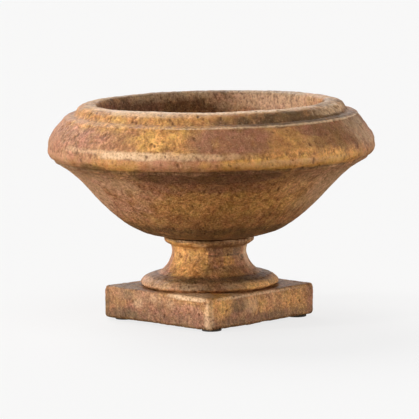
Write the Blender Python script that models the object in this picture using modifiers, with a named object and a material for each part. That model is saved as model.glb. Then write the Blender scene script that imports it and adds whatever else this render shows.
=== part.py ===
"""Garden bowl urn in cast stone: a wide rimmed bowl on a waisted stem and a square plinth.

The three castings are bedded on each other and pulled together by a hollow drain tube, which
is clamped under the plinth. Units are metres, +Z is up, and the origin is on the ground under
the centre of the urn. A turned outline is a list of (radius, height) points.
"""

import math

import bmesh
import bpy

# Overall sizes
RIM_RADIUS = 0.300
URN_HEIGHT = 0.400
PLINTH_SIDE = 0.275
GAP = 0.0003  # left between pieces that touch

# Heights where one piece ends and the next begins, from the ground up
PAD_TOP = 0.0032
PLINTH_BOTTOM = PAD_TOP + GAP
PLINTH_TOP = 0.0620
STEM_BOTTOM = 0.0646
STEM_TOP = 0.1527
BOWL_BOTTOM = 0.1553
BOWL_FLOOR = 0.195

# Bowl
OPENING_RADIUS = 0.206
LIP_RADIUS = 0.248
ARRIS_RADIUS = 0.269
BOWL_FOOT_RADIUS = 0.090
DRAIN_HOLE_RADIUS = 0.015
SEAT_RADIUS = 0.034  # the recess in the floor that takes the tube's flange
SEAT_DEPTH = 0.0078

# Stem
COLLAR_RADIUS = 0.083
NECK_RADIUS = 0.0683
DISC_RADIUS = 0.127
STEM_CORE_RADIUS = 0.027

# Plinth
PLINTH_EDGE_ROUNDING = 0.005
RECESS_SIDE = 0.184
RECESS_DRAFT = 0.008  # how much narrower the recess is at its ceiling
RECESS_TOP = 0.030
RECESS_CORNER = 0.012
PLINTH_HOLE_RADIUS = 0.022

# Bedding rings
BOWL_BEDDING_RADIUS = 0.077
STEM_BEDDING_RADIUS = 0.113

# Drain tube and what clamps it
TUBE_RADIUS = 0.0135
TUBE_BORE_RADIUS = 0.0105
TUBE_BOTTOM = 0.006
FLANGE_RADIUS = 0.031
FLANGE_THICKNESS = 0.004
FLANGE_GASKET_THICKNESS = 0.003
CLAMP_GASKET_RADIUS = 0.044
CLAMP_GASKET_THICKNESS = 0.003
CLAMP_PLATE_RADIUS = 0.046
CLAMP_PLATE_THICKNESS = 0.005
NUT_ACROSS_FLATS = 0.036
NUT_THICKNESS = 0.012

# Pads
PAD_RADIUS = 0.018
PAD_OFFSET = 0.112  # from the axis to a pad's centre, along X and along Y
PAD_EDGE = 0.0005

# How finely round shapes are cut into flats
BOWL_SIDES = 56
STEM_SIDES = 48
RING_SIDES = 32
SMALL_SIDES = 24
SHARP_ANGLE = math.radians(32)


def clear_scene():
    for thing in list(bpy.data.objects):
        bpy.data.objects.remove(thing, do_unlink=True)


def new_collection(name):
    collection = bpy.data.collections.new(name)
    bpy.context.scene.collection.children.link(collection)
    return collection


def new_material(name, colour, roughness, metallic=0.0):
    material = bpy.data.materials.new(name)
    material.use_nodes = True
    shader = material.node_tree.nodes["Principled BSDF"]
    shader.inputs["Base Color"].default_value = (*colour, 1.0)
    shader.inputs["Roughness"].default_value = roughness
    shader.inputs["Metallic"].default_value = metallic
    material.diffuse_color = (*colour, 1.0)
    return material


def add_object(name, mesh, collection, material=None):
    thing = bpy.data.objects.new(name, mesh)
    collection.objects.link(thing)
    if material is not None:
        mesh.materials.append(material)
    return thing


def bake_modifiers(thing):
    """Replaces the object's mesh with what its modifiers make of it, shaded smooth up to sharp edges."""
    bpy.context.view_layer.update()
    evaluated = thing.evaluated_get(bpy.context.evaluated_depsgraph_get())
    mesh = bpy.data.meshes.new_from_object(evaluated)
    mesh.name = thing.name
    thing.modifiers.clear()
    thing.data = mesh
    mesh.shade_smooth()
    mesh.set_sharp_from_angle(angle=SHARP_ANGLE)


def curve_through(points, cuts):
    """A Catmull-Rom curve through the points, with this many steps between each two of them."""
    first = [2 * a - b for a, b in zip(points[0], points[1])]
    last = [2 * a - b for a, b in zip(points[-1], points[-2])]
    knots = [first, *points, last]
    curve = []
    for before, start, end, after in zip(knots, knots[1:], knots[2:], knots[3:]):
        for step in range(cuts):
            t = step / cuts
            curve.append(
                tuple(
                    0.5 * (2 * b + (c - a) * t + (2 * a - 5 * b + 4 * c - d) * t**2
                           + (3 * b - a - 3 * c + d) * t**3)
                    for a, b, c, d in zip(before, start, end, after)
                )
            )
    curve.append(tuple(points[-1]))
    return curve


def arc(centre, radius, start, end, steps):
    """Points along a circle, from one angle to another, in degrees from the outward direction."""
    angles = [math.radians(start + (end - start) * i / steps) for i in range(steps + 1)]
    return [(centre[0] + radius * math.cos(a), centre[1] + radius * math.sin(a)) for a in angles]


def turned(name, outline, sides, collection, material):
    """Turns a closed outline about Z. The outline runs down the outer side and up the inner one."""
    mesh = bpy.data.meshes.new(name)
    count = len(outline)
    edges = [(i, (i + 1) % count) for i in range(count)]
    mesh.from_pydata([(r, 0.0, z) for r, z in outline], edges, [])
    thing = add_object(name, mesh, collection)
    screw = thing.modifiers.new("turn", "SCREW")
    screw.axis = "Z"
    screw.angle = 2 * math.pi
    screw.steps = sides
    screw.render_steps = sides
    screw.use_merge_vertices = True
    screw.merge_threshold = 0.00001
    bake_modifiers(thing)
    thing.data.materials.append(material)
    return thing


def ring(name, outer, inner, bottom, top, sides, collection, material, edge=0.0004):
    """A flat ring with slightly rounded outer edges."""
    outline = [
        (outer - edge, top),
        (outer, top - edge),
        (outer, bottom + edge),
        (outer - edge, bottom),
        (inner, bottom),
        (inner, top),
    ]
    return turned(name, outline, sides, collection, material)


def cut(thing, cutter, name):
    boolean = thing.modifiers.new(name, "BOOLEAN")
    boolean.operation = "DIFFERENCE"
    boolean.solver = "EXACT"
    boolean.object = cutter
    cutter.hide_render = True
    cutter.display_type = "WIRE"


def cylinder_mesh(name, radius, height, sides):
    """A closed cylinder centred on the origin."""
    mesh = bpy.data.meshes.new(name)
    shape = bmesh.new()
    bmesh.ops.create_cone(
        shape, cap_ends=True, segments=sides, radius1=radius, radius2=radius, depth=height
    )
    shape.to_mesh(mesh)
    shape.free()
    return mesh


def lip_outline():
    """From the opening's edge, over the rounded lip and down to the arris where the slope starts."""
    inner_round = arc((OPENING_RADIUS + 0.008, URN_HEIGHT - 0.008), 0.008, 180, 90, 3)
    outer_round = curve_through(
        [(0.2270, URN_HEIGHT), (0.2370, 0.3976), (0.2445, 0.3922), (LIP_RADIUS, 0.3852)], 2
    )
    cove = arc((LIP_RADIUS + 0.0060, 0.3850), 0.0045, 195, 268, 2)
    shoulder = [(LIP_RADIUS + 0.014, 0.3797), (ARRIS_RADIUS - 0.0015, 0.3766)]
    return [*inner_round, *outer_round, *cove, *shoulder]


def bowl_outline():
    slope = curve_through(
        [(ARRIS_RADIUS, 0.3752), (0.2795, 0.361), (0.2905, 0.3455), (0.2948, 0.3385)], 2
    )
    bulge = curve_through(
        [(0.2955, 0.3345), (0.2985, 0.3235), (RIM_RADIUS, 0.3165), (0.2972, 0.3080), (0.2895, 0.2980)], 2
    )
    body = curve_through(
        [
            (0.2790, 0.2920),
            (0.2605, 0.2800),
            (0.2377, 0.2600),
            (0.2118, 0.2320),
            (0.1852, 0.2045),
            (0.1578, 0.1820),
            (0.1270, 0.1650),
            (BOWL_FOOT_RADIUS, BOWL_BOTTOM),
        ],
        2,
    )
    seat = [
        (DRAIN_HOLE_RADIUS, BOWL_BOTTOM),
        (DRAIN_HOLE_RADIUS, BOWL_FLOOR - SEAT_DEPTH),
        (SEAT_RADIUS, BOWL_FLOOR - SEAT_DEPTH),
        (SEAT_RADIUS, BOWL_FLOOR),
    ]
    inside = curve_through(
        [
            (0.0900, BOWL_FLOOR),
            (0.1120, 0.1983),
            (0.1450, 0.2150),
            (0.1720, 0.2400),
            (0.1920, 0.2680),
            (0.2020, 0.3000),
            (0.2045, 0.3400),
            (OPENING_RADIUS - 0.0002, 0.3860),
        ],
        2,
    )
    return [*lip_outline(), *slope, *bulge, *body, *seat, *inside]


def stem_outline():
    collar = [
        (COLLAR_RADIUS - 0.001, STEM_TOP),
        (COLLAR_RADIUS, STEM_TOP - 0.001),
        (COLLAR_RADIUS - 0.0010, 0.1446),
        (COLLAR_RADIUS - 0.0022, 0.1436),
        (COLLAR_RADIUS - 0.0068, 0.1404),
        (COLLAR_RADIUS - 0.0095, 0.1389),
    ]
    neck = curve_through(
        [
            (0.0703, 0.1380),
            (NECK_RADIUS, 0.1240),
            (0.0718, 0.1115),
            (0.0787, 0.0995),
            (0.0880, 0.0903),
            (0.0985, 0.0850),
        ],
        3,
    )
    disc = curve_through(
        [
            (0.1018, 0.0852),
            (0.1118, 0.0822),
            (0.1203, 0.0772),
            (0.1255, 0.0720),
            (DISC_RADIUS, 0.0685),
            (DISC_RADIUS - 0.0008, 0.0660),
        ],
        2,
    )
    core = [
        (DISC_RADIUS - 0.0028, STEM_BOTTOM),
        (STEM_CORE_RADIUS, STEM_BOTTOM),
        (STEM_CORE_RADIUS, STEM_TOP),
    ]
    return [*collar, *neck, *disc, *core]


def make_plinth(parts, cutters, material):
    """A square block with worn edges, hollowed from below, with a hole for the drain tube."""
    mesh = bpy.data.meshes.new("plinth")
    shape = bmesh.new()
    bmesh.ops.create_cube(shape, size=1.0)
    height = PLINTH_TOP - PLINTH_BOTTOM
    bmesh.ops.scale(shape, vec=(PLINTH_SIDE, PLINTH_SIDE, height), verts=shape.verts)
    shape.to_mesh(mesh)
    shape.free()
    plinth = add_object("plinth", mesh, parts)
    plinth.location.z = (PLINTH_TOP + PLINTH_BOTTOM) / 2
    rounding = plinth.modifiers.new("worn_edges", "BEVEL")
    rounding.width = PLINTH_EDGE_ROUNDING
    rounding.segments = 3
    cut(plinth, make_recess_cutter(cutters), "underside_recess")
    hole_mesh = cylinder_mesh("plinth_hole", PLINTH_HOLE_RADIUS, 3 * PLINTH_TOP, RING_SIDES)
    hole = add_object("plinth_hole", hole_mesh, cutters)
    cut(plinth, hole, "tube_hole")
    bake_modifiers(plinth)
    plinth.data.materials.append(material)


def make_recess_cutter(cutters):
    """The hollow under the plinth: square, with rounded corners, and narrower at its ceiling."""
    mesh = bpy.data.meshes.new("plinth_recess")
    shape = bmesh.new()
    bmesh.ops.create_cube(shape, size=1.0)
    depth = 2 * (RECESS_TOP - PLINTH_BOTTOM)
    bmesh.ops.scale(shape, vec=(RECESS_SIDE, RECESS_SIDE, depth), verts=shape.verts)
    upright = [e for e in shape.edges if abs(e.verts[0].co.z - e.verts[1].co.z) > depth / 2]
    bmesh.ops.bevel(
        shape, geom=upright, offset=RECESS_CORNER, offset_type="OFFSET", segments=4, profile=0.5,
        affect="EDGES",
    )
    taper = 1 - RECESS_DRAFT / RECESS_SIDE
    ceiling = [v for v in shape.verts if v.co.z > 0]
    bmesh.ops.scale(shape, vec=(taper, taper, 1.0), verts=ceiling)
    shape.to_mesh(mesh)
    shape.free()
    cutter = add_object("plinth_recess", mesh, cutters)
    cutter.location.z = PLINTH_BOTTOM
    return cutter


def make_drain_tube(parts, material):
    """A tube with a flange at its top, which rests on its gasket in the bowl's floor."""
    flange_bottom = BOWL_FLOOR - SEAT_DEPTH + GAP + FLANGE_GASKET_THICKNESS + GAP
    flange_top = flange_bottom + FLANGE_THICKNESS
    outline = [
        (FLANGE_RADIUS - 0.001, flange_top),
        (FLANGE_RADIUS, flange_top - 0.001),
        (FLANGE_RADIUS, flange_bottom),
        (TUBE_RADIUS, flange_bottom),
        (TUBE_RADIUS, TUBE_BOTTOM + 0.001),
        (TUBE_RADIUS - 0.001, TUBE_BOTTOM),
        (TUBE_BORE_RADIUS, TUBE_BOTTOM),
        (TUBE_BORE_RADIUS, flange_top - 0.002),
        (TUBE_BORE_RADIUS + 0.002, flange_top),
    ]
    turned("drain_tube", outline, RING_SIDES, parts, material)


def make_tie_nut(parts, cutters, top, material):
    """A hexagon nut on the tube's lower end, below the clamp plate."""
    corner_radius = NUT_ACROSS_FLATS / math.sqrt(3)
    nut = add_object("tie_nut", cylinder_mesh("tie_nut", corner_radius, NUT_THICKNESS, 6), parts)
    nut.location.z = top - NUT_THICKNESS / 2
    bore_mesh = cylinder_mesh("nut_bore", TUBE_RADIUS + GAP, 3 * NUT_THICKNESS, RING_SIDES)
    bore = add_object("nut_bore", bore_mesh, cutters)
    bore.location.z = nut.location.z
    rounding = nut.modifiers.new("broken_edges", "BEVEL")
    rounding.width = 0.0008
    rounding.segments = 1
    cut(nut, bore, "bore")
    bake_modifiers(nut)
    nut.data.materials.append(material)


def make_clamp_stack(parts, cutters, rubber, steel, brass):
    """Gasket, plate and nut, each a gap below the one above, from the recess's ceiling down."""
    gasket_top = RECESS_TOP - GAP
    gasket_bottom = gasket_top - CLAMP_GASKET_THICKNESS
    plate_top = gasket_bottom - GAP
    plate_bottom = plate_top - CLAMP_PLATE_THICKNESS
    ring("clamp_gasket", CLAMP_GASKET_RADIUS, PLINTH_HOLE_RADIUS + 0.001, gasket_bottom, gasket_top,
         RING_SIDES, parts, rubber)
    ring("clamp_plate", CLAMP_PLATE_RADIUS, TUBE_RADIUS + 0.0006, plate_bottom, plate_top,
         RING_SIDES, parts, steel)
    make_tie_nut(parts, cutters, plate_bottom - GAP, brass)


def make_pads(parts, rubber):
    """Four round pads under the plinth's corners, which carry the urn and let water drain away."""
    mesh = cylinder_mesh("levelling_pad", PAD_RADIUS, PAD_TOP, SMALL_SIDES)
    mesh.materials.append(rubber)
    corners = [(1, 1), (-1, 1), (-1, -1), (1, -1)]
    for number, (x, y) in enumerate(corners, start=1):
        pad = add_object(f"levelling_pad_{number}", mesh, parts)
        pad.location = (x * PAD_OFFSET, y * PAD_OFFSET, PAD_TOP / 2)
        rounding = pad.modifiers.new("soft_edge", "BEVEL")
        rounding.width = PAD_EDGE
        rounding.segments = 1


def build_urn():
    clear_scene()
    parts = new_collection("garden_urn")
    cutters = new_collection("cutters")
    stone = new_material("cast_stone", (0.46, 0.27, 0.12), 0.55)
    mortar = new_material("bedding_mortar", (0.20, 0.15, 0.10), 0.9)
    rubber = new_material("rubber", (0.03, 0.03, 0.032), 0.8)
    brass = new_material("brass", (0.55, 0.40, 0.18), 0.35, 1.0)
    steel = new_material("galvanised_steel", (0.55, 0.56, 0.57), 0.4, 1.0)

    turned("bowl", bowl_outline(), BOWL_SIDES, parts, stone)
    turned("stem", stem_outline(), STEM_SIDES, parts, stone)
    make_plinth(parts, cutters, stone)
    ring("bowl_bedding", BOWL_BEDDING_RADIUS, STEM_CORE_RADIUS + 0.004, STEM_TOP + GAP, BOWL_BOTTOM - GAP,
         RING_SIDES, parts, mortar)
    ring("stem_bedding", STEM_BEDDING_RADIUS, STEM_CORE_RADIUS + 0.004, PLINTH_TOP + GAP, STEM_BOTTOM - GAP,
         RING_SIDES, parts, mortar)
    make_drain_tube(parts, brass)
    seat_height = BOWL_FLOOR - SEAT_DEPTH
    ring("flange_gasket", FLANGE_RADIUS + 0.001, DRAIN_HOLE_RADIUS + 0.001, seat_height + GAP,
         seat_height + GAP + FLANGE_GASKET_THICKNESS, RING_SIDES, parts, rubber)
    make_clamp_stack(parts, cutters, rubber, steel, brass)
    make_pads(parts, rubber)


build_urn()
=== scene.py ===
"""The looks of a cast-stone garden bowl urn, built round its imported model. Lengths are metres."""

import itertools
import math

import bmesh
import bpy
import numpy as np
from mathutils import Matrix, Vector, kdtree


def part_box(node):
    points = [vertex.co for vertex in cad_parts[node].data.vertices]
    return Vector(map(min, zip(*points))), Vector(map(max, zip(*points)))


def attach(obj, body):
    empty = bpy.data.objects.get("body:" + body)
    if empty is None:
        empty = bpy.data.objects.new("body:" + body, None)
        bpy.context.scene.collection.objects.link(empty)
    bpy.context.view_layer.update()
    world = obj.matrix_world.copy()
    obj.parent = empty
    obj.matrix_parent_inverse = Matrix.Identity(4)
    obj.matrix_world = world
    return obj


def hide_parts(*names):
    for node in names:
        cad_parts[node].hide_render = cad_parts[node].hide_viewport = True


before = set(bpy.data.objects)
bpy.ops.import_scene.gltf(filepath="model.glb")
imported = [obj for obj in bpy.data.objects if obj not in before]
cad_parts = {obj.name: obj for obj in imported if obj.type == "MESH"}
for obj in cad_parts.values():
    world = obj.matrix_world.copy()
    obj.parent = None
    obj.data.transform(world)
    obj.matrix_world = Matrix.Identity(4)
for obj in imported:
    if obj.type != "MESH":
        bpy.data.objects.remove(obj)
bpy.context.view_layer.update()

# Where the camera stands: its direction round the urn and above the horizon, its tilt, and its lens
AZIMUTH = math.radians(44.6)
ELEVATION = math.radians(6.97)
ROLL = math.radians(0.75)
AIM = Vector((0.0, 0.0, 0.2004))
DISTANCE = 6.72
LENS_MM = 313.6
SENSOR_MM = 36.0

# The plinth's box and half its width, read from the frame
PLINTH_LOW, PLINTH_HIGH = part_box("plinth")
PLINTH_HALF = PLINTH_HIGH.x

# Level directions: to the camera's right, and from the urn towards the camera
VIEW_RIGHT = np.array([math.cos(AZIMUTH), math.sin(AZIMUTH), 0.0])
VIEW_FRONT = np.array([math.sin(AZIMUTH), -math.cos(AZIMUTH), 0.0])

# The castings are set by hand, so each sits a little off the axis, to the camera's right where above 0
RIM_SHIFT = 0.0046
RIM_TILT = math.radians(0.4)
STEM_SHIFT = -0.0013
PLINTH_SHIFT = -0.0026


# ---------------------------------------------------------------- noise and small maths


class Noise:
    """Smooth noise in space, about -1 to 1, and the same on each run for one seed."""

    def __init__(self, seed):
        draw = np.random.default_rng(seed)
        self.order = draw.permutation(256)
        slopes = draw.normal(size=(256, 3))
        self.slopes = slopes / np.linalg.norm(slopes, axis=1, keepdims=True)

    def __call__(self, points, size):
        """The noise at each point. size is the distance between its bumps, a number or one per axis."""
        at = points / np.asarray(size)
        cell = np.floor(at).astype(int)
        part = at - cell
        blend = part**3 * (part * (part * 6 - 15) + 10)
        total = np.zeros(len(points))
        for corner in itertools.product((0, 1), repeat=3):
            x, y, z = (cell + corner).T
            key = self.order[(self.order[(self.order[x & 255] + y) & 255] + z) & 255]
            weight = np.prod(np.where(corner, blend, 1 - blend), axis=1)
            total += weight * ((part - corner) * self.slopes[key]).sum(axis=1)
        return 1.6 * total

    def layers(self, points, size, count):
        """Several sizes of noise added up, each half the size and half the height of the last."""
        size = np.asarray(size, float)
        return sum(self(points + 7.3 * n, size / 2**n) / 2**n for n in range(count))


def ease(low, high, value):
    """0 below low, 1 above high, and a smooth step between."""
    t = np.clip((value - low) / (high - low), 0, 1)
    return t * t * (3 - 2 * t)


# ---------------------------------------------------------------- outlines


def outline_of(node_name):
    """The closed outline of a turned CAD node, as (radius, height) points in order, in the plane y = 0."""
    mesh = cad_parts[node_name].data
    key_of = {}
    for vertex in mesh.vertices:
        x, y, z = vertex.co
        if abs(y) < 1e-5 and x > 0:
            key_of[vertex.index] = (round(x, 5), round(z, 5))
    beside = {key: set() for key in key_of.values()}
    for edge in mesh.edges:
        a, b = (key_of.get(v) for v in edge.vertices)
        if a and b and a != b:
            beside[a].add(b)
            beside[b].add(a)
    start = max(beside, key=lambda p: (p[1], -p[0]))
    path = [start]
    here = max(beside[start])
    while here != start:
        path.append(here)
        ahead = [p for p in beside[here] if p != path[-2]]
        here = ahead[0]
    return np.array(path)


def smooth_run(points, spacing):
    """Points along a smooth curve through the given ones, with spacing(radius, height) between them."""
    chords = np.linalg.norm(np.diff(points, axis=0), axis=1)
    along = np.concatenate([[0], np.cumsum(chords)])
    slopes = np.gradient(points, along, axis=0) if len(points) > 2 else np.diff(points, axis=0) / chords
    run = []
    for n, chord in enumerate(chords):
        a, b = points[n], points[n + 1]
        ta, tb = (slopes[n], slopes[n + 1]) if len(points) > 2 else (slopes[0], slopes[0])
        steps = max(1, round(chord / spacing(*((a + b) / 2))))
        for t in np.arange(steps) / steps:
            run.append(
                (2 * t**3 - 3 * t**2 + 1) * a + (t**3 - 2 * t**2 + t) * chord * ta
                + (3 * t**2 - 2 * t**3) * b + (t**3 - t**2) * chord * tb
            )
    return run


def fine_outline(points, spacing, sharp=math.radians(38), softening=1):
    """A closed outline with many more points: smooth, except where it turns by more than sharp."""
    before, after = points - np.roll(points, 1, axis=0), np.roll(points, -1, axis=0) - points
    turn = np.abs(np.arctan2(
        before[:, 0] * after[:, 1] - before[:, 1] * after[:, 0], (before * after).sum(axis=1)
    ))
    corners = list(np.flatnonzero(turn > sharp))
    fine = []
    for first, last in zip(corners, corners[1:] + [corners[0] + len(points)]):
        run = points[np.arange(first, last + 1) % len(points)]
        fine += smooth_run(run, spacing)
    fine = np.array(fine)
    for _ in range(softening):
        fine = (np.roll(fine, 1, axis=0) + 2 * fine + np.roll(fine, -1, axis=0)) / 4
    return fine


def with_relief(outline, beads, inner_radius, lowest):
    """Raises lines round the outer side of an outline: each (height, half width, rise), and a rise below
    0 is a groove."""
    radius, height = outline.T
    rise = sum(high * np.exp(-(((height - level) / wide) ** 2)) for level, wide, high in beads)
    outer = (radius > inner_radius) & (height > lowest)
    return np.column_stack([radius + rise * outer, height])


# ---------------------------------------------------------------- grids of points


class Skin:
    """A closed surface of rings: points[i, j] is step i round the axis and step j along the outline."""

    def __init__(self, points):
        self.points = points
        self.marks = {}
        across = np.roll(points, -1, axis=0) - np.roll(points, 1, axis=0)
        along = np.roll(points, -1, axis=1) - np.roll(points, 1, axis=1)
        facing = np.cross(across, along)
        self.area = np.linalg.norm(facing, axis=2) / 4
        self.normals = facing / np.maximum(4 * self.area[..., None], 1e-12)
        if (points * self.normals * self.area[..., None]).sum() < 0:
            self.normals = -self.normals
        self.down = along / np.maximum(np.linalg.norm(along, axis=2, keepdims=True), 1e-9)
        middle = (np.roll(points, 1, axis=1) + np.roll(points, -1, axis=1)) / 2
        middle_round = (np.roll(points, 1, axis=0) + np.roll(points, -1, axis=0)) / 2
        step = np.linalg.norm(along, axis=2) / 2
        step_round = np.linalg.norm(across, axis=2) / 2
        bend = ((points - middle) * self.normals).sum(axis=2) / np.maximum(step, 4e-4) ** 2
        bend += ((points - middle_round) * self.normals).sum(axis=2) / np.maximum(step_round, 4e-4) ** 2
        self.bend = bend  # above 0 on ridges and edges, below 0 in hollows, in 1 / metres

    def flat(self, name="points"):
        return getattr(self, name).reshape(-1, 3)

    def move(self, distance):
        """Pushes each point out along its normal."""
        self.points = self.points + self.normals * distance.reshape(self.area.shape)[..., None]

    def mark(self, name, values):
        self.marks[name] = np.clip(values.reshape(-1), 0, 1)

    def blurred_bend(self, times):
        """The bend, spread over that many neighbours each way."""
        bend = self.bend
        for _ in range(times):
            bend = (2 * bend + sum(np.roll(bend, s, axis=a) for a in (0, 1) for s in (-1, 1))) / 6
        return bend.reshape(-1)


def turned_skin(outline, sides):
    angles = 2 * np.pi * np.arange(sides) / sides
    radius, height = outline.T
    points = np.empty((sides, len(outline), 3))
    points[..., 0] = np.cos(angles)[:, None] * radius
    points[..., 1] = np.sin(angles)[:, None] * radius
    points[..., 2] = height
    return Skin(points)


def make_piece(name, skin, material, nodes):
    """Turns a skin into an object that replaces its CAD nodes, with its marks as point values."""
    rings, steps = skin.area.shape
    i, j = np.meshgrid(np.arange(rings), np.arange(steps), indexing="ij")
    ahead, beyond = (i + 1) % rings, (j + 1) % steps
    corners = [i * steps + j, i * steps + beyond, ahead * steps + beyond, ahead * steps + j]
    quads = np.stack(corners, axis=2).reshape(-1, 4)
    points = skin.flat()
    a, b, c, d = (points[quads[:, n]] for n in range(4))
    if (np.cross(c - a, d - b) * (a + c)).sum() < 0:  # the faces look inwards
        quads = quads[:, ::-1]
    mesh = bpy.data.meshes.new(name)
    mesh.from_pydata(points.tolist(), [], quads.tolist())
    for mark, values in skin.marks.items():
        mesh.attributes.new(mark, "FLOAT", "POINT").data.foreach_set("value", values.astype(np.float32))
    mesh.shade_smooth()
    mesh.materials.append(material)
    piece = bpy.data.objects.new(name, mesh)
    bpy.context.scene.collection.objects.link(piece)
    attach(piece, "root")
    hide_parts(*nodes)
    return piece


# ---------------------------------------------------------------- the surface of the stone


def dig_pits(skin, count, sizes, depth, stretch, seed, where=1.0):
    """How deep air holes cut into a casting at each point. Each hole is a rough oval, longer along the
    outline, and where says how likely one is at each point."""
    draw = np.random.default_rng(seed)
    points, normals, down = skin.flat(), skin.flat("normals"), skin.flat("down")
    likely = skin.area.reshape(-1) * np.maximum(where * np.ones(len(points)), 0)
    chosen = draw.choice(len(points), size=count, p=likely / likely.sum())
    radii = sizes[0] + (sizes[1] - sizes[0]) * draw.random(count) ** 2.2
    longer = 1 + (stretch - 1) * draw.random(count) ** 2
    lean = draw.normal(0, 0.35, count)
    tree = kdtree.KDTree(len(points))
    for n, point in enumerate(points):
        tree.insert(point, n)
    tree.balance()
    rough = Noise(seed + 1)(points, 0.004)
    dug = np.zeros(len(points))
    for n, radius, more, angle in zip(chosen, radii, longer, lean):
        near = np.array([found[1] for found in tree.find_range(points[n], radius * more * 1.3)])
        off = points[near] - points[n]
        side = np.cross(normals[n], down[n])
        long_way = math.cos(angle) * down[n] + math.sin(angle) * side
        u, v = off @ long_way / more, off @ np.cross(normals[n], long_way)
        reach = np.hypot(u, v) / radius * (1 + 0.3 * rough[near])
        bowl = (1 - ease(0.35, 1.05, reach)) * depth * min(1, radius / sizes[1] + 0.25)
        dug[near] = np.maximum(dug[near], bowl)
    return dug


def weather(skin, seed, pits, wave=0.0007, grain=0.0004, chips=0.0012, dirt_and_shade=1.0):
    """Gives a cast piece its uneven form, grain, pits and chipped edges, and marks the pits, the worn edges
    with their painted highlight, and the hollows with their grime and painted shade. It returns the points as
    they were before."""
    noise = Noise(seed)
    points = skin.flat()
    ridge = ease(60, 260, skin.blurred_bend(1))
    shade_and_grime_in_hollows = ease(25, 160, -skin.blurred_bend(3))
    uneven = wave * noise.layers(points, 0.09, 2)
    rough = grain * noise.layers(points, (0.011, 0.011, 0.014), 3)
    chipped = chips * ridge * ease(0.05, 0.6, noise.layers(points + 0.3, 0.012, 2))
    dug = sum(dig_pits(skin, seed=seed + 10 * n, **pit) for n, pit in enumerate(pits, start=1))
    skin.move(uneven + rough - chipped - dug)
    skin.mark("pit", dug / 0.0013)
    # worn edges, lightened both as wear and as a painted highlight that the edges catch
    skin.mark("wear_and_edge_highlight", ridge * ease(-0.3, 0.45, noise.layers(points, 0.02, 2)))
    # grime and painted shade: the concave hollows are marked to be darkened as if shadowed
    skin.mark("shade_and_grime_in_hollows", dirt_and_shade * shade_and_grime_in_hollows)
    return points


def view_angle(points):
    """The angle of each point round the axis, in degrees to the right of the camera's side."""
    return np.degrees(np.arctan2(points @ VIEW_RIGHT, points @ VIEW_FRONT))


def patch_strength(points, patches, seed):
    """How strongly a patch of colour shows; the patches are stains, painted shade and painted highlights.
    Each patch is (angle, height, half angle, half height, strength), and may end with how soft its edge is.
    Angles are in degrees from the camera's side."""
    noise = Noise(seed)
    broken = 0.35 * noise.layers(points, 0.035, 3)
    angle, height = view_angle(points), points[:, 2]
    total = np.zeros(len(points))
    for at, level, wide, tall, strength, *soft in patches:
        soft = soft[0] if soft else 0.6
        turn = (angle - at + 180) % 360 - 180
        reach = (np.abs(turn / wide) ** 3 + np.abs((height - level) / tall) ** 3) ** (1 / 3)
        edge = reach + broken * min(1, 1.6 * soft)
        total = np.maximum(total, strength * (1 - ease(1 - soft / 2, 1 + soft / 2, edge)))
    return total


def mark_colour_patches(skin, points, seed, **patches_by_name):
    """Marks each of these from its own patches: pink, gold, mauve, umber, pale or calm.
    Most are stains, but some dark patches are painted shade and many light ones painted highlights.
    """
    for number, (name, patches) in enumerate(patches_by_name.items()):
        skin.mark(name, patch_strength(points, patches, seed + number))


# ---------------------------------------------------------------- materials


def node(tree, kind, values=None, **settings):
    """Adds a shader node. values gives its sockets a number, a colour or another node's output."""
    made = tree.nodes.new(kind)
    for name, value in settings.items():
        setattr(made, name, value)
    for name, value in (values or {}).items():
        if isinstance(value, bpy.types.NodeSocket):
            tree.links.new(value, made.inputs[name])
        else:
            made.inputs[name].default_value = value
    return made


def colour(red, green, blue):
    """An sRGB colour, 0 to 255, as the linear one that a shader takes."""
    return (*(((c / 255 + 0.055) / 1.055) ** 2.4 for c in (red, green, blue)), 1.0)


def mix(tree, factor, first, second, blend="MIX"):
    made = node(tree, "ShaderNodeMix", data_type="RGBA", blend_type=blend)
    for index, value in ((0, factor), (6, first), (7, second)):
        if isinstance(value, bpy.types.NodeSocket):
            tree.links.new(value, made.inputs[index])
        else:
            made.inputs[index].default_value = value
    return made.outputs[2]


def maths(tree, operation, first, second, clamp=False):
    return node(
        tree, "ShaderNodeMath", {0: first, 1: second}, operation=operation, use_clamp=clamp
    ).outputs[0]


def spread(tree, value, low, high, out_low=0.0, out_high=1.0):
    """Takes a value's range from low to high onto another range."""
    values = {"Value": value, "From Min": low, "From Max": high, "To Min": out_low, "To Max": out_high}
    return node(tree, "ShaderNodeMapRange", values).outputs["Result"]


def speckle(tree, where, scale, detail=3.0, rough=0.55, warp=0.0):
    values = {"Vector": where, "Scale": scale, "Detail": detail, "Roughness": rough, "Distortion": warp}
    return node(tree, "ShaderNodeTexNoise", values).outputs["Fac"]


def attribute(tree, name):
    return node(tree, "ShaderNodeAttribute", attribute_name=name, attribute_type="GEOMETRY").outputs["Fac"]


def new_material(name):
    material = bpy.data.materials.new(name)
    material.use_nodes = True
    tree = material.node_tree
    shader = tree.nodes["Principled BSDF"]
    where = node(tree, "ShaderNodeTexCoord").outputs["Object"]
    return material, tree, shader, where


def stretched(tree, where, x, y, z):
    return node(tree, "ShaderNodeMapping", {"Vector": where, "Scale": (x, y, z)}).outputs["Vector"]


def tinted(tree, base, marked, broken, tint):
    """Lays a tint over the base where its mark is, broken up by a pattern or weakened by a number."""
    return mix(tree, maths(tree, "MULTIPLY", attribute(tree, marked), broken), base, tint)


def shaded(tree, base, pattern, low, high, dark, bright):
    """Makes the base darker and redder where a pattern is low, and brighter and paler where it is high."""
    levels = {
        name: spread(tree, pattern, low, high, dark * (1 - warm), bright * (1 + warm))
        for name, warm in (("Red", 0.0), ("Green", 0.05), ("Blue", 0.12))
    }
    shade = node(tree, "ShaderNodeCombineColor", levels)
    return mix(tree, 1.0, base, shade.outputs[0], "MULTIPLY")


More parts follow.
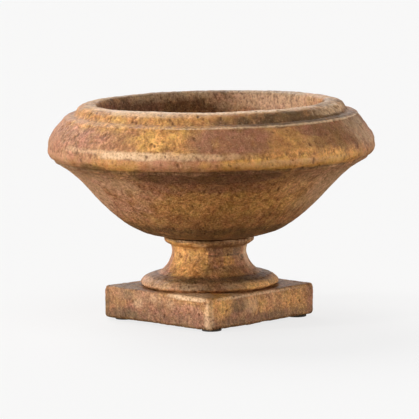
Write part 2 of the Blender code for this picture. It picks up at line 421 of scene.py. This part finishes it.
def air_holes(tree, where, scale, most, share):
    """Small holes, 1 at the middle and 0 outside. share is the part of the cells that hold one."""
    cells = node(tree, "ShaderNodeTexVoronoi", {"Vector": where, "Scale": scale, "Randomness": 1.0})
    pick = node(tree, "ShaderNodeSeparateColor", {"Color": cells.outputs["Color"]}).outputs["Red"]
    radius = spread(tree, pick, 1 - share, 1, 0, most)
    depth = maths(tree, "SUBTRACT", radius, cells.outputs["Distance"])
    return spread(tree, depth, 0, 0.5 * most)


def cast_stone_material():
    """Pitted cast stone under a rust and ochre wash, sealed, with light-coloured worn edges and dark air
    holes.
    Painted highlights lie on its edges, ridges and lip, and painted shade in its hollows and some dark
    patches.
    """
    material, tree, shader, where = new_material("cast_stone_patina")
    upright = stretched(tree, where, 1, 1, 0.55)
    broad = speckle(tree, where, 9, detail=4, rough=0.5, warp=0.8)
    cloud = speckle(tree, where, 34, detail=5, rough=0.65, warp=0.5)
    blotch = speckle(tree, stretched(tree, where, 1, 1, 0.8), 92, detail=4, rough=0.7, warp=0.3)
    fleck = speckle(tree, where, 200, detail=3, rough=0.75)
    drift = speckle(tree, where, 44, detail=4, rough=0.7)
    sand = speckle(tree, where, 480, detail=2, rough=0.7)
    bend = node(tree, "ShaderNodeTexNoise", {"Vector": where, "Scale": 160.0}).outputs["Color"]
    bend = node(tree, "ShaderNodeVectorMath", {0: bend, 1: (0.008, 0.008, 0.008)}, operation="MULTIPLY")
    bent = node(tree, "ShaderNodeVectorMath", {0: upright, 1: bend.outputs[0]}, operation="ADD").outputs[0]
    holes = maths(tree, "MAXIMUM", air_holes(tree, bent, 125, 0.22, 0.8), air_holes(tree, bent, 50, 0.2, 0.4))

    wash = mix(tree, spread(tree, broad, 0.36, 0.64), colour(172, 121, 73), colour(192, 139, 86))
    wash = tinted(tree, wash, "pink", spread(tree, cloud, 0.25, 0.5), colour(190, 136, 103))
    wash = tinted(tree, wash, "gold", spread(tree, cloud, 0.2, 0.5), colour(222, 163, 88))
    wash = tinted(tree, wash, "mauve", spread(tree, cloud, 0.3, 0.5), colour(158, 106, 78))
    # dark stains, and painted shade where some patches stand in for shadow
    wash = tinted(tree, wash, "umber", spread(tree, cloud, 0.8, 0.5), colour(104, 78, 48))
    plain = shaded(tree, wash, cloud, 0.36, 0.64, 0.8, 1.1)
    wash = shaded(tree, plain, blotch, 0.38, 0.62, 0.74, 1.2)
    wash = shaded(tree, wash, fleck, 0.37, 0.63, 0.57, 1.23)
    wash = mix(tree, attribute(tree, "calm"), wash, plain)
    redder, yellower = (1.07, 0.94, 0.98, 1.0), (0.98, 1.03, 0.89, 1.0)
    hue = mix(tree, spread(tree, drift, 0.38, 0.62), redder, yellower)
    wash = mix(tree, 1.0, wash, hue, "MULTIPLY")
    wash = mix(tree, spread(tree, sand, 0.57, 0.7, 0, 0.45), wash, colour(228, 190, 148))
    wash = mix(tree, spread(tree, sand, 0.43, 0.32, 0, 0.65), wash, colour(100, 60, 34))
    # painted highlights along ridges, lip and edges, and lighter patches; these are also made glossier below
    wash = tinted(tree, wash, "pale", spread(tree, fleck, 0.3, 0.56, 0.1, 0.95), colour(241, 205, 164))
    # worn edges, with a painted highlight on them
    wash = tinted(tree, wash, "wear_and_edge_highlight", spread(tree, blotch, 0.4, 0.56, 0.1, 0.9), colour(230, 188, 146))
    # grime and painted shade in the concave hollows
    wash = tinted(tree, wash, "shade_and_grime_in_hollows", 0.5, colour(92, 58, 34))
    wash = tinted(tree, wash, "pit", 0.85, colour(92, 58, 34))
    wash = mix(tree, maths(tree, "MULTIPLY", holes, 0.7), wash, colour(100, 62, 36))

    sealed = spread(tree, cloud, 0.36, 0.64, 0.46, 0.6)
    polished = maths(tree, "MULTIPLY", attribute(tree, "pale"), -0.18)
    sealed = maths(tree, "ADD", sealed, polished)
    sealed = maths(tree, "ADD", sealed, maths(tree, "MULTIPLY", holes, 0.3), clamp=True)
    low = node(tree, "ShaderNodeBump", {"Height": blotch, "Strength": 0.8, "Distance": 0.0024})
    mid = node(tree, "ShaderNodeBump", {"Height": fleck, "Strength": 0.8, "Distance": 0.0018,
                                        "Normal": low.outputs[0]})
    fine = node(tree, "ShaderNodeBump", {"Height": sand, "Strength": 0.6, "Distance": 0.0005,
                                         "Normal": mid.outputs[0]})
    dug = node(tree, "ShaderNodeBump", {"Height": holes, "Strength": 0.8, "Distance": 0.0012,
                                        "Normal": fine.outputs[0]}, invert=True)
    tree.links.new(wash, shader.inputs["Base Color"])
    tree.links.new(sealed, shader.inputs["Roughness"])
    tree.links.new(dug.outputs[0], shader.inputs["Normal"])
    shader.inputs["Specular IOR Level"].default_value = 0.28
    return material


def mortar_material():
    material, tree, shader, where = new_material("bedding_mortar_sand")
    sand = speckle(tree, where, 700, detail=3)
    lump = speckle(tree, where, 90, detail=4)
    base = mix(tree, spread(tree, lump, 0.3, 0.7), colour(70, 50, 34), colour(120, 92, 66))
    base = mix(tree, spread(tree, sand, 0.55, 0.7, 0, 0.6), base, colour(160, 130, 98))
    bump = node(tree, "ShaderNodeBump", {"Height": sand, "Strength": 0.8, "Distance": 0.0006})
    tree.links.new(base, shader.inputs["Base Color"])
    tree.links.new(bump.outputs[0], shader.inputs["Normal"])
    shader.inputs["Roughness"].default_value = 0.92
    return material


def rubber_material():
    material, tree, shader, where = new_material("rubber_black")
    dust = speckle(tree, where, 60, detail=5)
    skin = speckle(tree, where, 900, detail=2)
    base = mix(tree, spread(tree, dust, 0.4, 0.75), colour(38, 37, 37), colour(78, 72, 66))
    bump = node(tree, "ShaderNodeBump", {"Height": skin, "Strength": 0.4, "Distance": 0.0002})
    tree.links.new(base, shader.inputs["Base Color"])
    tree.links.new(spread(tree, dust, 0.3, 0.7, 0.7, 0.9), shader.inputs["Roughness"])
    tree.links.new(bump.outputs[0], shader.inputs["Normal"])
    return material


def brass_material():
    """Brass that has stood in wet soil: brown tarnish, with green in the damp patches."""
    material, tree, shader, where = new_material("brass_tarnished")
    cloud = speckle(tree, where, 55, detail=5, rough=0.6, warp=0.4)
    scratch = speckle(tree, stretched(tree, where, 1, 1, 14), 180, detail=3)
    base = mix(tree, spread(tree, cloud, 0.35, 0.62), colour(196, 158, 92), colour(118, 84, 50))
    base = mix(tree, spread(tree, cloud, 0.62, 0.72, 0, 0.7), base, colour(98, 128, 104))
    bump = node(tree, "ShaderNodeBump", {"Height": scratch, "Strength": 0.25, "Distance": 0.0002})
    tree.links.new(base, shader.inputs["Base Color"])
    tree.links.new(spread(tree, cloud, 0.62, 0.7, 1.0, 0.2), shader.inputs["Metallic"])
    tree.links.new(spread(tree, cloud, 0.3, 0.7, 0.3, 0.62), shader.inputs["Roughness"])
    tree.links.new(bump.outputs[0], shader.inputs["Normal"])
    return material


def zinc_material():
    """Hot-dip zinc with its crystal spangle and a few rust spots."""
    material, tree, shader, where = new_material("zinc_spangled")
    spangle = node(tree, "ShaderNodeTexVoronoi", {"Vector": where, "Scale": 130.0})
    tone = node(tree, "ShaderNodeSeparateColor", {"Color": spangle.outputs["Color"]}).outputs["Red"]
    cloud = speckle(tree, where, 70, detail=4)
    base = mix(tree, tone, colour(150, 154, 158), colour(198, 201, 204))
    base = mix(tree, spread(tree, cloud, 0.6, 0.72, 0, 0.8), base, colour(124, 76, 42))
    tree.links.new(base, shader.inputs["Base Color"])
    tree.links.new(spread(tree, tone, 0, 1, 0.28, 0.5), shader.inputs["Roughness"])
    tree.links.new(spread(tree, cloud, 0.62, 0.7, 1.0, 0.1), shader.inputs["Metallic"])
    return material


# ---------------------------------------------------------------- the three castings


RIM_BEADS = (
    (0.3757, 0.0014, 0.0012),  # the arris where the slope starts
    (0.3315, 0.0080, 0.0025),  # the ridge at its foot
    (0.3130, 0.0060, 0.0006),  # the bead
    (0.2998, 0.0034, -0.0026),  # the undercut below it
)


def swell(points):
    """How far the rim's slope bulges on the camera's left, as a push at each point."""
    turn = (view_angle(points) + 90) / 40
    rise = (points[:, 2] - 0.353) / 0.015
    radius = np.hypot(points[:, 0], points[:, 1])
    push = 0.0042 * np.exp(-(turn**2) - rise**2) * (radius > 0.24)
    outward = points * (1, 1, 0) / np.maximum(radius, 1e-6)[:, None]
    return push[:, None] * outward


def make_bowl(stone):
    """The bowl, with most air holes on the rim's flanks and on the inner wall."""
    def spacing(radius, height):
        if radius > 0.21 and height > 0.294:  # the rim
            return 0.0017
        if radius < 0.09:  # the middle of the floor and the foot
            return 0.010
        if radius < 0.21 and height > 0.186:  # the inner wall, finer where it is seen
            return 0.005 if height > 0.33 else 0.011
        return 0.0042

    outline = fine_outline(outline_of("bowl"), spacing)
    outline = with_relief(outline, RIM_BEADS, inner_radius=0.22, lowest=0.29)
    skin = turned_skin(outline, sides=488)
    flat = skin.flat()
    below_rim = flat[:, 2] < 0.296
    inside = (np.hypot(*flat[:, :2].T) < 0.25) & (flat[:, 2] > 0.35)
    flanks = np.exp(-(((np.abs(view_angle(flat)) - 64) / 18) ** 2))
    crowd = (1 + 1.5 * ease(0, 0.5, Noise(5)(flat, 0.06))) * (1 + 3 * flanks + 4 * inside)
    points = weather(skin, 11, wave=0.0011, grain=0.0006, dirt_and_shade=0.7, pits=[
        dict(count=2400, sizes=(0.0020, 0.0034), depth=0.0009, stretch=1.8, where=crowd),
        dict(count=250, sizes=(0.0020, 0.0034), depth=0.0022, stretch=2.8,
             where=crowd * np.where(below_rim, 0.15, 1.0)),
    ])
    mark_colour_patches(
        skin, points, seed=50,
        pink=[(-70, 0.340, 26, 0.040, 1.0), (-12, 0.316, 18, 0.012, 0.8), (-62, 0.255, 28, 0.050, 1.0),
              (-30, 0.258, 10, 0.030, 0.8), (146, 0.385, 40, 0.030, 0.9), (54, 0.270, 20, 0.035, 0.9, 0.9),
              (105, 0.350, 20, 0.040, 0.8), (-130, 0.350, 26, 0.040, 0.9), (160, 0.260, 26, 0.040, 0.8)],
        gold=[(-19, 0.358, 10, 0.026, 1.0, 0.8), (-42, 0.387, 36, 0.016, 0.5), (-34, 0.312, 10, 0.010, 0.5),
              (26, 0.352, 7, 0.018, 0.6, 0.9), (21, 0.314, 20, 0.010, 1.0, 0.4), (42, 0.317, 24, 0.017, 0.95),
              (-4, 0.393, 10, 0.006, 0.6), (5, 0.235, 32, 0.025, 0.4, 0.9), (125, 0.325, 22, 0.030, 0.9),
              (-155, 0.330, 26, 0.030, 0.8), (175, 0.240, 24, 0.050, 0.6), (36, 0.245, 16, 0.030, 0.5, 0.9)],
        mauve=[(-80, 0.345, 14, 0.050, 0.5), (9, 0.354, 15, 0.022, 0.9, 0.5),
               (44, 0.366, 10, 0.012, 0.9, 0.3), (-52, 0.352, 18, 0.020, 0.45, 0.9),
               (84, 0.340, 12, 0.050, 0.6), (68, 0.240, 10, 0.060, 0.6), (68, 0.352, 14, 0.034, 0.9, 0.9),
               (-2, 0.289, 28, 0.014, 1.0, 0.1), (-5, 0.274, 25, 0.018, 0.7, 0.5),
               (-72, 0.225, 16, 0.040, 0.5, 0.9), (-105, 0.360, 18, 0.030, 0.8),
               (160, 0.310, 16, 0.030, 0.7), (-170, 0.250, 18, 0.050, 0.5)],
        # mostly stains; the patches at 0.170 under the bowl above the collar, at 0.299 along the undercut and
        # at -152 on the inner wall's back left are painted shade
        umber=[(12, 0.388, 16, 0.007, 0.45, 0.9), (40, 0.386, 34, 0.011, 1.0, 0.5),
               (75, 0.385, 18, 0.030, 0.7), (-47, 0.305, 7, 0.0085, 0.8, 0.7), (60, 0.352, 22, 0.022, 0.45),
               (0, 0.170, 180, 0.016, 0.8), (-2, 0.290, 28, 0.013, 0.6, 0.15),
               (-10, 0.299, 70, 0.003, 0.8, 0.3), (-152, 0.385, 36, 0.040, 0.75),
               (180, 0.399, 60, 0.004, 0.8)],
        # painted highlights: the ridge near 0.33, the lip's top edge near 0.40, the arris at 0.3764 and the
        # body's right edge near 62 degrees; the others lighten patches of the stone
        pale=[(-27, 0.330, 13, 0.007, 1.0, 0.8), (-48, 0.334, 12, 0.0045, 0.45, 0.8),
              (-6, 0.329, 16, 0.0055, 0.6, 0.9), (27, 0.313, 22, 0.006, 0.3, 0.9),
              (-4, 0.4002, 62, 0.0016, 0.75, 0.9), (-28, 0.398, 22, 0.005, 0.4, 0.9),
              (45, 0.400, 30, 0.003, 0.3, 0.9), (0, 0.4004, 180, 0.0014, 0.3, 0.9),
              (30, 0.3764, 55, 0.0012, 0.7, 0.4), (64, 0.392, 14, 0.007, 0.6),
              (62, 0.250, 14, 0.045, 0.4, 0.9), (48, 0.275, 18, 0.024, 0.15, 0.9),
              (-68, 0.260, 12, 0.050, 0.3, 0.9), (-45, 0.272, 14, 0.020, 0.3, 0.9),
              (140, 0.385, 30, 0.020, 0.45, 0.9), (-160, 0.393, 24, 0.008, 0.35, 0.9),
              (72, 0.350, 10, 0.022, 0.35, 0.9)],
        calm=[(0, 0.312, 180, 0.010, 0.8, 0.3), (45, 0.392, 55, 0.008, 0.7, 0.4),
              (-50, 0.392, 30, 0.008, 0.25), (48, 0.352, 62, 0.024, 0.5)],
    )
    lift = ease(0.20, 0.31, points[:, 2])  # the foot stays in place, and the rim moves
    moved = skin.flat() + (RIM_SHIFT * lift)[:, None] * VIEW_RIGHT + swell(points)
    moved[:, 2] += math.tan(RIM_TILT) * (points @ VIEW_RIGHT) * lift
    skin.points = moved.reshape(skin.points.shape)
    return make_piece("bowl_casting", skin, stone, ["bowl"])


def make_stem(stone):
    """The stem, whose disc is the roughest part of it."""
    def spacing(radius, height):
        hidden = radius < 0.06 or (height < 0.0652 and radius < 0.12) or (height > 0.152 and radius < 0.08)
        return 0.006 if hidden else 0.0017

    skin = turned_skin(fine_outline(outline_of("stem"), spacing), sides=420)
    on_disc = skin.flat()[:, 2] < 0.082
    crowd, grain = np.where(on_disc, 4.0, 1.0), np.where(on_disc, 0.0009, 0.0004)
    points = weather(skin, 23, wave=0.0009, grain=grain, chips=0.0022, dirt_and_shade=0.4, pits=[
        dict(count=1300, sizes=(0.0014, 0.0028), depth=0.0009, stretch=1.5, where=crowd),
        dict(count=26, sizes=(0.0020, 0.0036), depth=0.0024, stretch=2.2),
    ])
    mark_colour_patches(
        skin, points, seed=70,
        pink=[(-78, 0.100, 26, 0.030, 0.8), (-12, 0.125, 8, 0.020, 0.5), (-60, 0.072, 34, 0.008, 0.6),
              (66, 0.110, 14, 0.020, 0.5)],
        gold=[(-36, 0.118, 34, 0.030, 0.75, 0.12), (24, 0.114, 16, 0.0085, 0.7, 0.15),
              (58, 0.072, 28, 0.006, 1.0), (-50, 0.149, 30, 0.005, 0.6), (140, 0.120, 30, 0.030, 0.7)],
        mauve=[(60, 0.110, 20, 0.030, 0.5), (10, 0.122, 12, 0.022, 0.7, 0.12), (-6, 0.076, 26, 0.010, 0.5)],
        # mostly stains; the band at 0.1515 on the collar is the bowl's painted shadow, and the bands at 0.083
        # round the flare's foot are part grime, part painted shade
        umber=[(0, 0.1515, 180, 0.0035, 0.8, 0.4), (30, 0.137, 32, 0.011, 0.7, 0.3),
               (26, 0.0985, 34, 0.006, 0.5), (12, 0.083, 50, 0.0045, 0.9, 0.9), (0, 0.083, 180, 0.003, 0.5),
               (-5, 0.072, 26, 0.006, 0.7), (60, 0.118, 3.5, 0.004, 1.0, 0.2),
               (24, 0.1235, 30, 0.0012, 0.8, 0.2), (-160, 0.130, 40, 0.030, 0.6)],
        # painted highlights along the disc's bead near 0.075; the others lighten patches of the stone
        pale=[(-45, 0.074, 44, 0.006, 0.35, 0.9), (48, 0.075, 38, 0.005, 0.3, 0.9),
              (72, 0.118, 8, 0.020, 0.5), (-14, 0.142, 10, 0.003, 0.4)],
    )
    skin.points = skin.points + STEM_SHIFT * VIEW_RIGHT
    return make_piece("stem_casting", skin, stone, ["stem"])


def square_ring(half, corner, angles):
    """Points on a square with rounded corners, one in each direction. A corner as big as half is a circle."""
    x, y = np.abs(np.cos(angles)), np.abs(np.sin(angles))
    large, small = np.maximum(x, y), np.minimum(x, y)
    centre = half - corner
    flat = half / large
    dot = centre * (large + small)
    on_arc = dot + np.sqrt(np.maximum(dot**2 - 2 * centre**2 + corner**2, 0))
    reach = np.where(small * flat <= centre, flat, on_arc)
    return np.stack([np.cos(angles) * reach, np.sin(angles) * reach], axis=1)


def plinth_skin(sides=640):
    """Rings from the tube hole out over the top, down the side, and under into the recess."""
    low, high = PLINTH_LOW.z, PLINTH_HIGH.z
    soft, hole, recess, ceiling = 0.005, 0.022, 0.092, 0.030
    stops = [  # half width, corner radius, height, and how many steps lead to the next one
        (hole, hole, ceiling, 6),
        (hole, hole, high, 14),
        (0.085, 0.060, high, 26),
        (PLINTH_HALF - soft, 0.0060, high, 0),
    ]
    for step in range(5):
        turn = math.radians(90 - 90 * step / 5)
        inset, drop = soft * (1 - math.cos(turn)), soft * (1 - math.sin(turn))
        stops.append((PLINTH_HALF - inset, 0.0065, high - drop, 1))
    stops[-6] = stops[-6][:3] + (1,)
    stops += [
        (PLINTH_HALF, 0.0065, high - soft, 24),
        (PLINTH_HALF, 0.0065, low + soft, 1),
        (PLINTH_HALF - 0.0015, 0.0065, low + 0.0015, 1),
        (PLINTH_HALF - soft, 0.0060, low, 10),
        (recess, 0.012, low, 8),
        (recess - 0.004, 0.012, ceiling, 14),
    ]
    outer = np.linspace(0, 2 * np.pi, 20 * sides, endpoint=False)
    ring = square_ring(PLINTH_HALF, 0.0065, outer)
    gaps = np.linalg.norm(np.roll(ring, -1, axis=0) - ring, axis=1)
    along = np.cumsum(gaps) - gaps
    angles = np.interp(np.arange(sides) * gaps.sum() / sides, along, outer)
    rings = []
    for (half, corner, height, steps), after in zip(stops, stops[1:] + stops[:1]):
        for t in np.arange(steps) / max(steps, 1):
            a, b, c = ((1 - t) * here + t * there for here, there in zip((half, corner, height), after))
            flat = square_ring(a, min(b, a), angles)
            rings.append(np.column_stack([flat, np.full(sides, c)]))
    return Skin(np.stack(rings, axis=1))


def make_plinth(stone):
    """The square plinth, with chipped edges."""
    skin = plinth_skin()
    crowd = 1 + 1.5 * ease(0, 0.5, Noise(8)(skin.flat(), 0.05))
    points = weather(skin, 37, wave=0.0011, chips=0.0022, pits=[
        dict(count=3000, sizes=(0.0014, 0.0028), depth=0.0009, stretch=1.4, where=crowd),
        dict(count=60, sizes=(0.0018, 0.0034), depth=0.0022, stretch=1.8, where=crowd),
    ])
    mark_colour_patches(
        skin, points, seed=90,
        pink=[(-17, 0.024, 16, 0.022, 1.0), (-52, 0.045, 12, 0.020, 0.5), (58, 0.045, 12, 0.020, 0.7),
              (-60, 0.020, 14, 0.014, 0.5, 0.9)],
        gold=[(8, 0.045, 8, 0.020, 0.8, 0.6), (-25, 0.058, 14, 0.012, 0.3, 0.9),
              (46, 0.034, 12, 0.018, 0.4, 0.9), (72, 0.036, 14, 0.022, 0.65, 0.9),
              (150, 0.030, 20, 0.030, 0.8), (-120, 0.040, 16, 0.030, 0.7)],
        mauve=[(-45, 0.012, 45, 0.028, 1.0, 0.9), (-30, 0.035, 16, 0.020, 0.4, 0.9),
               (-72, 0.040, 18, 0.020, 0.4), (24, 0.020, 12, 0.016, 0.7), (54, 0.012, 24, 0.010, 0.7),
               (100, 0.030, 16, 0.030, 0.7), (-160, 0.020, 18, 0.030, 0.8)],
        # mostly stains; the band at 0.0635 on the top's left is the bowl's painted shadow, and the bands from
        # 0.003 to 0.010 make the plinth darker towards the bottom
        umber=[(22, 0.045, 7, 0.020, 0.5, 0.9), (-45, 0.008, 45, 0.014, 0.35, 0.9),
               (45, 0.008, 45, 0.014, 0.5, 0.9), (-78, 0.010, 14, 0.016, 0.8),
               (-88, 0.030, 3, 0.030, 0.6, 0.9), (180, 0.050, 20, 0.020, 0.6),
               (0, 0.003, 180, 0.006, 0.8), (-80, 0.0635, 40, 0.003, 0.6, 0.5),
               (-72, 0.049, 5, 0.009, 0.5, 0.9), (-40, 0.034, 4, 0.012, 0.45, 0.9),
               (-56, 0.022, 4, 0.008, 0.4, 0.9)],
        # painted highlights along the top edges near 0.059 and down the front corner; the others lighten
        # patches of the stone
        pale=[(-15, 0.059, 16, 0.0045, 1.0), (33, 0.038, 6, 0.012, 0.3, 0.9), (0, 0.035, 2.5, 0.030, 0.55),
              (-58, 0.052, 28, 0.009, 0.15, 0.9), (40, 0.059, 36, 0.003, 0.6),
              (-64, 0.038, 5, 0.009, 0.4, 0.9), (-30, 0.046, 4, 0.010, 0.2, 0.9),
              (-48, 0.050, 4, 0.007, 0.4, 0.9)],
    )
    skin.points = skin.points + PLINTH_SHIFT * VIEW_RIGHT
    return make_piece("plinth_casting", skin, stone, ["plinth"])


# ---------------------------------------------------------------- the fittings


def make_ring(node_name, material, spacing, sides=96, softening=2, rough=0.0):
    """Replaces a turned CAD node with a finer one: rounded edges, and a side that is uneven by rough."""
    outline = fine_outline(outline_of(node_name), spacing, softening=softening)
    skin = turned_skin(outline, sides)
    sideways = 1 - np.abs(skin.flat("normals")[:, 2])
    skin.move(rough * sideways * Noise(sides).layers(skin.flat(), 0.012, 3))
    return make_piece(f"{node_name}_ring", skin, material, [node_name])


def thread_cut(points, pitch=0.00181, depth=0.0009):
    """How deep a screw thread cuts in at each point."""
    turn = np.arctan2(points[:, 1], points[:, 0]) / (2 * np.pi)
    return depth * np.abs(2 * ((points[:, 2] / pitch - turn) % 1) - 1)


def make_tube(brass):
    """The drain tube, with a screw thread round it below its flange."""
    def spacing(radius, height):
        if 0.0125 < radius < 0.0140:  # the threaded side
            return 0.00045
        return 0.0008 if radius > 0.0140 else 0.004  # the flange, or the bore

    skin = turned_skin(fine_outline(outline_of("drain_tube"), spacing, softening=1), sides=72)
    radius, height = np.hypot(*skin.flat()[:, :2].T), skin.flat()[:, 2]
    threaded = (radius > 0.0128) & (radius < 0.0150) & (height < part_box("drain_tube")[1].z - 0.0065)
    skin.move(-thread_cut(skin.flat()) * threaded)
    return make_piece("drain_tube_threaded", skin, brass, ["drain_tube"])


def make_nut(brass):
    """The hexagon nut, with chamfered corners and its thread."""
    low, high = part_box("tie_nut")
    half_flats, hole, chamfer = high.y, 0.0139, 0.0024
    sides = 180
    angles = 2 * np.pi * np.arange(sides) / sides
    hexagon = half_flats / np.cos(angles % (np.pi / 3) - np.pi / 6)
    caps = [(half_flats - 0.0008 + 1.5 * drop, drop) for drop in np.linspace(0, chamfer, 7)]
    stops = [(radius, high.z) for radius in np.linspace(hole, caps[0][0], 5)[:-1]]
    stops += [(radius, high.z - drop) for radius, drop in caps]
    stops += [(1.0, height) for height in np.linspace(high.z - chamfer, low.z + chamfer, 6)[1:-1]]
    stops += [(radius, low.z + drop) for radius, drop in reversed(caps)]
    stops += [(radius, low.z) for radius in np.linspace(caps[0][0], hole, 5)[1:]]
    stops += [(hole, height) for height in np.linspace(low.z, high.z, 31)[1:-1]]
    rings = []
    for cap, height in stops:
        radius = np.minimum(hexagon, cap)
        ring = np.column_stack([radius * np.cos(angles), radius * np.sin(angles), np.full(sides, height)])
        if cap == hole and low.z < height < high.z:
            ring[:, :2] *= (1 - thread_cut(ring) / hole)[:, None]
        rings.append(ring)
    return make_piece("tie_nut_threaded", Skin(np.stack(rings, axis=1)), brass, ["tie_nut"])


def make_pad(number, rubber):
    """A round rubber pad with a bulging side and grooves in its sole."""
    name = f"levelling_pad_{number}"
    low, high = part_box(name)
    radius, middle = (high.x - low.x) / 2, (low + high) / 2
    across = np.linspace(0, radius - 0.0005, 30)
    side = np.linspace(0.0005, high.z - low.z - 0.0005, 6)
    bulge = 0.0004 * np.sin(np.pi * side / (high.z - low.z))
    sole = 0.0006 * (np.sin(across * 2 * np.pi / 0.003) > 0.3) * (across > 0.003)
    outline = [(r, rise) for r, rise in zip(across, sole)]
    outline += [(radius - 0.0004 + b, rise) for b, rise in zip(bulge, side)]
    outline += [(r, high.z - low.z) for r in across[::-3]] + [(0.0, high.z - low.z)]
    skin = turned_skin(np.array(outline), sides=72)
    skin.points = skin.points + np.array((middle.x, middle.y, low.z))
    pad = make_piece(f"{name}_ribbed", skin, rubber, [name])
    close_poles(pad.data)
    return pad


def close_poles(mesh):
    """Joins the points that lie on a piece's own axis, and drops the faces with no area there."""
    work = bmesh.new()
    work.from_mesh(mesh)
    bmesh.ops.remove_doubles(work, verts=work.verts, dist=1e-6)
    bmesh.ops.delete(work, geom=[e for e in work.edges if not e.link_faces], context="EDGES")
    work.to_mesh(mesh)
    work.free()


def make_fittings():
    mortar, rubber, brass, zinc = mortar_material(), rubber_material(), brass_material(), zinc_material()
    for name in ("bowl_bedding", "stem_bedding"):
        make_ring(name, mortar, lambda r, z: 0.0014, sides=240, softening=1, rough=0.0007)
    for name in ("flange_gasket", "clamp_gasket"):
        make_ring(name, rubber, lambda r, z: 0.0006, softening=3)
    make_ring("clamp_plate", zinc, lambda r, z: 0.0006, softening=3)
    make_tube(brass)
    make_nut(brass)
    for number in range(1, 5):
        make_pad(number, rubber)


# ---------------------------------------------------------------- stage, light and camera


def make_floor():
    """A wide white disc, which only the camera sees, with soft shadows on it."""
    material, tree, shader, where = new_material("stage_white")
    shader.inputs["Base Color"].default_value = (0.16, 0.16, 0.16, 1.0)
    shader.inputs["Roughness"].default_value = 1.0
    shader.inputs["Specular IOR Level"].default_value = 0.0
    shader.inputs["Emission Color"].default_value = (1.0, 1.0, 1.0, 1.0)
    shader.inputs["Emission Strength"].default_value = 0.77
    mesh = bpy.data.meshes.new("floor")
    reach, sides = 60.0, 96
    around = [2 * math.pi * n / sides for n in range(sides)]
    mesh.from_pydata([(reach * math.cos(a), reach * math.sin(a), 0.0) for a in around], [], [range(sides)])
    mesh.materials.append(material)
    floor = bpy.data.objects.new("floor", mesh)
    bpy.context.scene.collection.objects.link(floor)
    floor.visible_diffuse = False
    floor.visible_glossy = False
    floor.visible_shadow = False


def make_sun(name, azimuth, elevation, strength, size, tint):
    """A soft light from far away. azimuth is in degrees to the right of the camera, size its width."""
    light = bpy.data.lights.new(name, "SUN")
    light.energy = strength
    light.angle = math.radians(size)
    light.color = tint
    lamp = bpy.data.objects.new(name, light)
    turn, rise = math.radians(azimuth), math.radians(elevation)
    level = math.cos(turn) * VIEW_FRONT + math.sin(turn) * VIEW_RIGHT
    towards = Vector(level * math.cos(rise)) + Vector((0, 0, math.sin(rise)))
    lamp.rotation_euler = towards.to_track_quat("Z", "Y").to_euler()
    lamp.location = towards * 4
    bpy.context.scene.collection.objects.link(lamp)


def make_world():
    """A studio lit mostly by its lamps: dim, but for the light that a white floor far off throws up. Round
    the horizon it is as white as the floor, which then has no visible edge."""
    world = bpy.data.worlds.new("studio")
    bpy.context.scene.world = world
    world.use_nodes = True
    tree = world.node_tree
    way = node(tree, "ShaderNodeTexCoord").outputs["Generated"]
    rise = node(tree, "ShaderNodeSeparateXYZ", {0: way}).outputs["Z"]
    ramp = node(tree, "ShaderNodeValToRGB", {"Fac": spread(tree, rise, -1, 1)})
    warm, white = (1.0, 0.76, 0.5), (1.0, 1.0, 1.0)
    stops = [  # how high, from 0 straight down to 1 straight up, how bright, and the tint
        (0.0, 0.05, warm), (0.32, 0.08, warm), (0.36, 1.0, warm), (0.486, 1.4, warm),
        (0.490, 0.935, white), (0.518, 0.935, white),
        (0.522, 0.46, white), (0.55, 0.4, white), (0.7, 0.3, white), (0.74, 0.06, white), (1.0, 0.06, white),
    ]
    for n, (at, level, tint) in enumerate(stops):
        stop = ramp.color_ramp.elements[n] if n < 2 else ramp.color_ramp.elements.new(at)
        stop.position = at
        stop.color = (*(level * part for part in tint), 1.0)
    tree.links.new(ramp.outputs["Color"], tree.nodes["Background"].inputs["Color"])


def make_camera():
    data = bpy.data.cameras.new("camera")
    data.lens = LENS_MM
    data.sensor_width = SENSOR_MM
    data.clip_end = 200
    back = Vector(VIEW_FRONT) * math.cos(ELEVATION) + Vector((0, 0, math.sin(ELEVATION)))
    level = Vector(VIEW_RIGHT)
    upright = back.cross(level)
    right = math.cos(ROLL) * level - math.sin(ROLL) * upright
    up = math.sin(ROLL) * level + math.cos(ROLL) * upright
    camera = bpy.data.objects.new("camera", data)
    turn = Matrix((right, up, back)).transposed().to_4x4()
    camera.matrix_world = Matrix.Translation(AIM + back * DISTANCE) @ turn
    bpy.context.scene.collection.objects.link(camera)
    bpy.context.scene.camera = camera


def set_exposure():
    view = bpy.context.scene.view_settings
    view.view_transform = "Standard"
    view.look = "None"


stone = cast_stone_material()
make_camera()
make_floor()
make_world()
make_sun("window", azimuth=-72, elevation=10, strength=2.1, size=6, tint=(1.0, 0.98, 0.95))
make_sun("left_softbox", azimuth=-150, elevation=45, strength=2.0, size=40, tint=(1.0, 0.98, 0.96))
make_sun("left_fill", azimuth=-75, elevation=-6, strength=0.75, size=30, tint=(1.0, 0.98, 0.96))
make_sun("right_softbox", azimuth=85, elevation=0, strength=1.2, size=30, tint=(1.0, 0.98, 0.96))
make_sun("top_softbox", azimuth=0, elevation=70, strength=1.0, size=50, tint=(1.0, 0.99, 0.97))
make_sun("back_softbox", azimuth=180, elevation=20, strength=0.45, size=40, tint=(1.0, 0.99, 0.97))
set_exposure()
make_bowl(stone)
make_stem(stone)
make_plinth(stone)
make_fittings()
